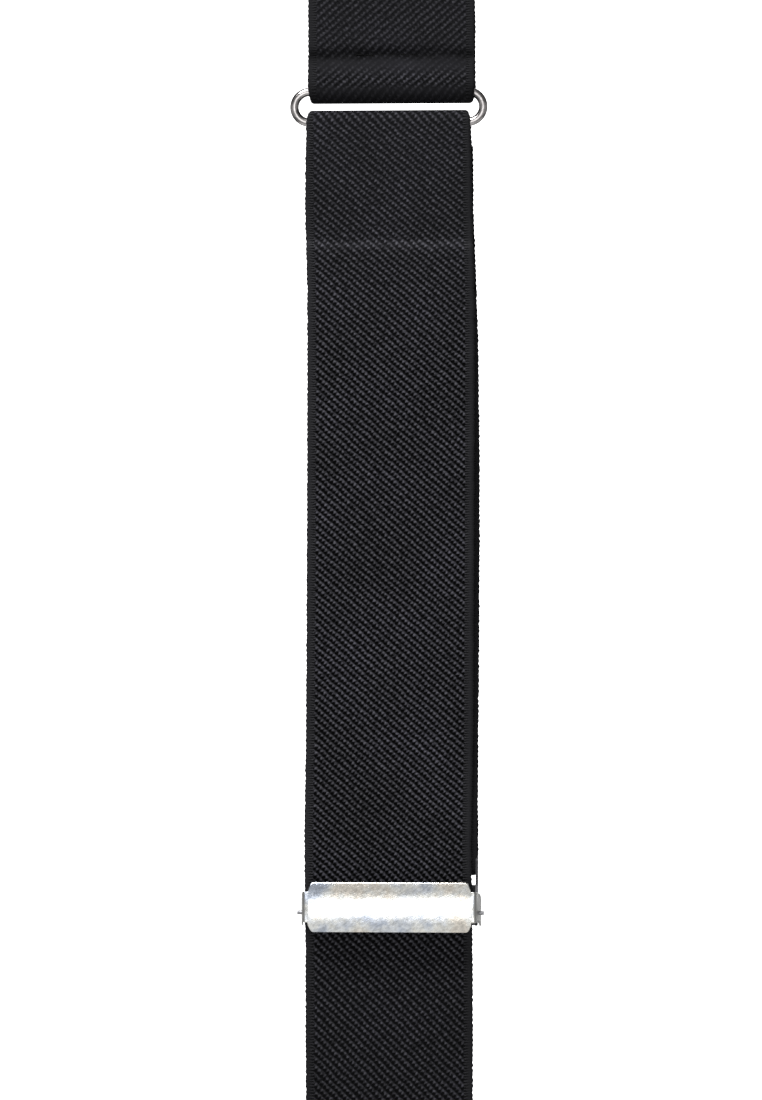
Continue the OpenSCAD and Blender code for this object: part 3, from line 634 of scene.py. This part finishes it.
    # lower strap, rear half: down behind the front run and round the adjuster's top bar, sewn to itself
    loopLow, loopHigh = (np.array(c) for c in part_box(side + "_adjuster_loop"))
    frontLayer = loopLow[1] + webbing["thick"] / 2
    barY = loopLow[1] + webbing["thick"] + webbing["adjusterIn"]
    barLow = loopLow[2] + webbing["thick"]
    fromEnd = 3.6 * mm
    seamZ = loopHigh[2] - fromEnd
    tailY = frontLayer + webbing["thick"] * 1.02
    fall = np.linspace(legEnd, loopHigh[2], 60)
    share = (legEnd - fall) / (legEnd - loopHigh[2])
    belly = ringY + foldMid + (frontLayer - ringY - foldMid) * share + 3.4 * mm * np.sin(pi * share ** 1.15) ** 1.3
    rear = np.concatenate([
        [(ringY + foldMid, legEnd + 0.5 * mm)], np.stack([belly, fall], 1), [(frontLayer, barLow + 2.4 * mm)],
        arc(barY, barLow, turnMid, 180, 360),
        [(barY + turnMid, barLow + 2.6 * mm), (tailY, seamZ - 1.2 * mm), (tailY, loopHigh[2])]])

    def rearSway(z):
        # the rear run shows a little beside the front one
        return k * -1 * mm * np.interp(bottom - z, [0, 0.02, 0.04, 0.05, 0.08, 0.13, 0.16, 0.19],
                                       [-0.65, -0.5, 0.2, 0.5, 0.8, 0.7, 0.6, 0.5])

    lay, at = inPlane(x, rear, 1, rearSway)
    rearHalf = woven(side + "_lowerStrapRear", lay, at, webbingBack, 1, 31 + k,
                     pinches=[(at[-1] - fromEnd, 0.2 * mm)], narrow=[(at[-1] - 11.5 * mm, 0.02)])
    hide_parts(side + "_rear_run", side + "_adjuster_loop")
    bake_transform(rearHalf)
    rearSewn = stitches(side + "_rearLoopStitches", sum([
        rowOfStitches(x, frontLayer + webbing["thick"] * 1.5 + 0.12 * mm, seamZ + h * mm, 1, seed=9 + k)
        for h in (0, 1.8)], []), side + "_adjuster")
    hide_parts(side + "_adjuster_loop_stitching")
print("front straps")

# back strap: from inside the patch down and round the back clip's bar
backLow, backHigh = (np.array(c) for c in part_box("back_strap"))
backY = shoulderMid
innerY = backY - webbing["thick"]
barZ = backLow[2] + webbing["clipIn"] + webbing["thick"]
path = np.concatenate([
    [(backY, backHigh[2]), (backY, barZ + clipLoop["meet"])], arc(webbing["shoulder"], barZ, clipMid, 0, -180),
    [(innerY, barZ + clipLoop["meet"]), (innerY, barZ + clipLoop["tail"])]])
lay, at = inPlane(0.0, path, -1)
downAt = backHigh[2] - barZ
backStrap = woven("backStrap", lay, at, webbingFace, 1, 41,
                  pinches=[(downAt - h * mm, 0.25 * mm) for h in clipLoop["rows"]],
                  narrow=[(downAt + clipMid * pi / 2, 0.02)])
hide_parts("back_strap")
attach(backStrap, "harness")
backSewn = stitches("backClipLoopStitches", sum([
    rowOfStitches(0.0, backY + 0.62 * mm, barZ + h * mm, 1, seed=12)
    + rowOfStitches(0.0, innerY - 0.62 * mm, barZ + h * mm, -1, seed=13)
    for h in clipLoop["rows"]], []), "harness")
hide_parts("back_loop_stitching")
print("backStrap")


def smoothCorners(corners, radius, step=0.12 * mm):
    # each corner is cut by a curve with its own reach: a quadratic from one tangent point to the other
    corners = np.array(corners, float)
    radius = np.broadcast_to(radius, len(corners))
    out = []
    for i, r in enumerate(radius):
        p, q, s = corners[i - 1], corners[i], corners[(i + 1) % len(corners)]
        a, b = (p - q) / np.linalg.norm(p - q), (s - q) / np.linalg.norm(s - q)
        r = min(r, 0.45 * np.linalg.norm(p - q), 0.45 * np.linalg.norm(s - q))
        f = np.linspace(0, 1, 7)[:, None]
        out.append((1 - f) ** 2 * (q + r * a) + 2 * f * (1 - f) * q + f ** 2 * (q + r * b))
    ringPoints = np.concatenate(out + [out[0][:1]])
    return evenly(ringPoints, step)[0][:-1]


def nearest(points, segments):
    # for every point, the closest point of the spine: foot = a + clamp((p - a) . d / d . d) d
    best = np.full(len(points), np.inf)
    foot = np.zeros_like(points)
    for a, b in segments:
        a, b = np.array(a, float), np.array(b, float)
        d = b - a
        f = np.clip(((points - a) @ d) / (d @ d), 0, 1)[:, None]
        q = a + f * d
        far = np.linalg.norm(points - q, axis=1)
        nearer = far < best
        foot[nearer], best[nearer] = q[nearer], far[nearer]
    return foot


def plate(name, outline, spine, thick, edge, place, material, rings=14):
    # loops run from the back's spine out to the rim, round it, and in again over the front;
    # place(u, v, t) bends the flat blank into its shape, t from 0 at the back to thick at the front
    foot = nearest(outline, spine)
    inward = foot - outline
    length = np.linalg.norm(inward, axis=1)[:, None]
    fill = np.linspace(1, 0, rings)[:-1]
    turnAngle = np.radians(np.linspace(-90, 90, 7))
    inset = edge * (1 - np.cos(turnAngle))
    lift = edge * (1 + np.sin(turnAngle))
    loops, heights = [], []
    for f in fill:
        loops.append(outline + inward / length * (edge + (length - edge) * f))
        heights.append(0.0)
    for d, h in zip(inset, lift):
        loops.append(outline + inward / length * d)
        heights.append(h if h <= edge else thick - 2 * edge + h)
    for f in fill[::-1]:
        loops.append(outline + inward / length * (edge + (length - edge) * f))
        heights.append(thick)
    flat = np.stack(loops)
    t = np.broadcast_to(np.array(heights)[:, None], flat.shape[:2])
    points = place(flat[..., 0], flat[..., 1], t)
    uv = np.concatenate([flat, flat[:, :1]], 1) / mm
    piece = gridMesh(name, points, uv, material, capped=False)
    closeUp(piece)
    piece.data.polygons.foreach_set("use_smooth", np.ones(len(piece.data.polygons), bool))
    return piece


# lengths in millimetres; flare is the angle by which the ears stay open, in radians
adjuster = {"half": 18.5, "clip": 0.65, "up": 7.15, "low": -4.35, "tabTop": 5.0, "tabLow": -2.1, "thick": 0.4,
            "edge": 0.17, "bulge": 15.0, "bend": 19.15, "bendRadius": 0.75, "ear": 7.2, "flare": 0.12}

for side, k in (("left", -1), ("right", 1)):
    pinLow, pinHigh = (np.array(c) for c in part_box(side + "_adjuster_pin"))
    x, _, pinZ = (pinLow + pinHigh) / 2
    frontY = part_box(side + "_adjuster_lever")[0][1]
    a = adjuster
    earEnd = a["bend"] + a["ear"] + 0.6
    right = [(a["half"] - a["clip"], a["low"]), (a["half"] + 0.2, a["tabLow"] - 0.5), (a["bend"] - 0.6, a["tabLow"]),
             (a["bend"] + 1.3, a["tabLow"] + 0.1), (a["bend"] + 3.2, a["tabLow"] + 0.75),
             (a["bend"] + 5.0, a["tabLow"] + 0.1),
             (earEnd - 0.8, a["tabLow"] - 1.1), (earEnd, a["tabLow"] - 0.9),
             (earEnd, a["tabTop"] - 2.2), (earEnd - 1.0, a["tabTop"] - 0.8),
             (a["bend"] + 2.4, a["tabTop"] - 0.1), (a["bend"] - 0.6, a["tabTop"]),
             (a["half"] + 0.1, a["tabTop"] + 0.3), (a["half"] - a["clip"], a["up"])]
    whole = right + [(-u, v) for u, v in right[::-1]]
    rounding = [0.7, 0.5, 0.4, 0.5, 1.2, 0.8, 0.35, 0.5, 1.0, 0.8, 0.6, 0.4, 0.5, 0.7]
    outline = smoothCorners(np.array(whole) * mm, np.array(rounding + rounding[::-1]) * mm)
    centreV = 1.4
    spineTips = [(-a["bend"] - 5.4, 0.6), (-17, centreV), (17, centreV), (a["bend"] + 5.4, 0.6)]
    spine = [(np.array(p) * mm, np.array(q) * mm) for p, q in zip(spineTips, spineTips[1:])]

    def formed(u, v, t):
        # the blank bulges along its height, y = R - sqrt(R^2 - (v - middle)^2), and past the bend line
        # each tab turns back through nearly 90 degrees on a small radius and runs on as a flared ear
        reach = np.abs(u) / mm
        past = np.clip(reach - a["bend"], 0, None)
        radius = a["bendRadius"]
        final = pi / 2 - a["flare"]
        angle = np.clip(past / radius, 0, final)
        rest = np.clip(past - radius * final, 0, None)
        acrossX = np.minimum(reach, a["bend"]) + radius * np.sin(angle) + rest * math.cos(final)
        back = radius * (1 - np.cos(angle)) + rest * math.sin(final)
        # t runs outward: along -Y on the plate, sideways on the ear
        lift = t / mm - a["thick"]
        acrossX = acrossX + lift * np.sin(angle)
        height = v / mm - centreV
        keepFlat = 1 - 0.75 * np.clip((reach - a["half"]) / 1.2, 0, 1)
        sag = (a["bulge"] - np.sqrt(a["bulge"] ** 2 - np.clip(height, -6, 6) ** 2)) * keepFlat + 0.25 * (1 - keepFlat)
        y = frontY + mm * (back + sag - lift * np.cos(angle))
        return np.stack([x + np.sign(u) * acrossX * mm, y, pinZ + v], -1)

    lever = plate(side + "_adjusterPlate", outline, spine, a["thick"] * mm, a["edge"] * mm, formed,
                  platedSteel, rings=22)
    lever.data.materials.append(platedEar)
    for polygon in lever.data.polygons:
        polygon.material_index = int(abs(polygon.center.x - x) > (a["bend"] + 0.3) * mm)
    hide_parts(side + "_adjuster_lever")
    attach(lever, side + "_adjuster_cover")

    # oval ring: a round wire along a stadium, straight bars joined by half circles
    low, high = (np.array(c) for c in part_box(side + "_ring"))
    centre = (low + high) / 2 - np.array([k * -0.7 * mm, 0, 0])
    wire = 1.0 * mm
    r = (high[2] - low[2]) / 2 - wire
    straight = (high[0] - low[0]) / 2 - r - wire
    b = np.linspace(-pi / 2, pi / 2, 40)
    halfLoop = np.stack([straight + r * np.cos(b), r * np.sin(b)], 1)
    line = np.concatenate([halfLoop, -halfLoop])
    line = evenly(np.concatenate([line, line[:1]]), 0.3 * mm)[0][:-1]
    tangent = np.roll(line, -1, 0) - np.roll(line, 1, 0)
    tangent /= np.linalg.norm(tangent, axis=1)[:, None]
    outward = np.stack([tangent[:, 1], -tangent[:, 0]], 1)
    c = np.linspace(0, 2 * pi, 25)[:-1]
    wireX = line[:, 0][:, None] + wire * np.cos(c) * outward[:, 0][:, None]
    wireZ = line[:, 1][:, None] + wire * np.cos(c) * outward[:, 1][:, None]
    tube = np.stack([centre[0] + wireX, centre[1] + wire * np.sin(c) + 0 * wireX, centre[2] + wireZ], 2)
    tube = np.concatenate([tube, tube[:1]])
    ovalRing = gridMesh(side + "_ovalRing", tube, np.zeros((len(tube), 25, 2)), platedRing, capped=False)
    closeUp(ovalRing)
    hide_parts(side + "_ring")
    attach(ovalRing, side + "_ring_body")
print("adjuster plates and rings")

# lengths in millimetres from the point where the straps' middle lines meet
patch = {"arm": 21.5, "long": 62.0, "down": 20.0, "round": 5.0, "edge": 0.45}
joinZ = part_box("patch_outer")[0][2] + patch["down"] * mm
tilt = math.radians(webbing["slant"])
lean = np.array([math.sin(tilt), math.cos(tilt)])
sideways = np.array([math.cos(tilt), -math.sin(tilt)])
e, far = patch["arm"], patch["long"]
crotch = e / math.sin(tilt)
hip = e * (1 - math.cos(tilt)) / math.sin(tilt)
arms = [tuple(lean * far + sideways * e), tuple(lean * far - sideways * e), (0, crotch)]
rightSide = [(e, -patch["down"]), (e, hip * 0.9)] + arms
shape = rightSide + [(-u, v) for u, v in rightSide[-2::-1]]
corner = patch["round"]
cut = np.array([corner, 14, corner, corner, 3.5, corner, corner, 14, corner])
leaf = smoothCorners(np.array(shape) * mm, cut * mm, 0.5 * mm)
bone = [((0, -8 * mm), (0, 42 * mm))]
for node, label, material, slotName in (("patch_outer", "leatherPatch", blackLeather, "leather"),
                                        ("patch_inner", "leatherPatchLining", splitLeather, "lining")):
    low, high = (np.array(c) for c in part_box(node))
    outer = node == "patch_outer"

    def laid(u, v, t, low=low, high=high, outer=outer):
        # both leaves lie flat: the outer one grows away from the straps, the lining toward the back
        y = low[1] + t if outer else high[1] - t
        return np.stack([u, y, joinZ + v], -1)

    leatherPiece = plate(label, leaf, bone, high[1] - low[1], patch["edge"] * mm, laid, material)
    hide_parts(node)
    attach(leatherPiece, "harness")
print("leatherPatch")

# CAD pieces whose shape is right keep it and get their finish here
finishes = {"_adjuster_frame": shadedFrameSteel, "_adjuster_pin": darkSteel, "_adjuster_jaw": shadedFrameSteel,
            "_clip_base": platedClip, "_clip_pin": darkSteel, "_clip_lever": platedClip,
            "_clip_base_grip": gripNylon, "_clip_lever_grip": gripNylon, "patch_stitching": sewingThread}
for name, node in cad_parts.items():
    for ending, material in finishes.items():
        if name.endswith(ending):
            node.data.materials.clear()
            node.data.materials.append(material)
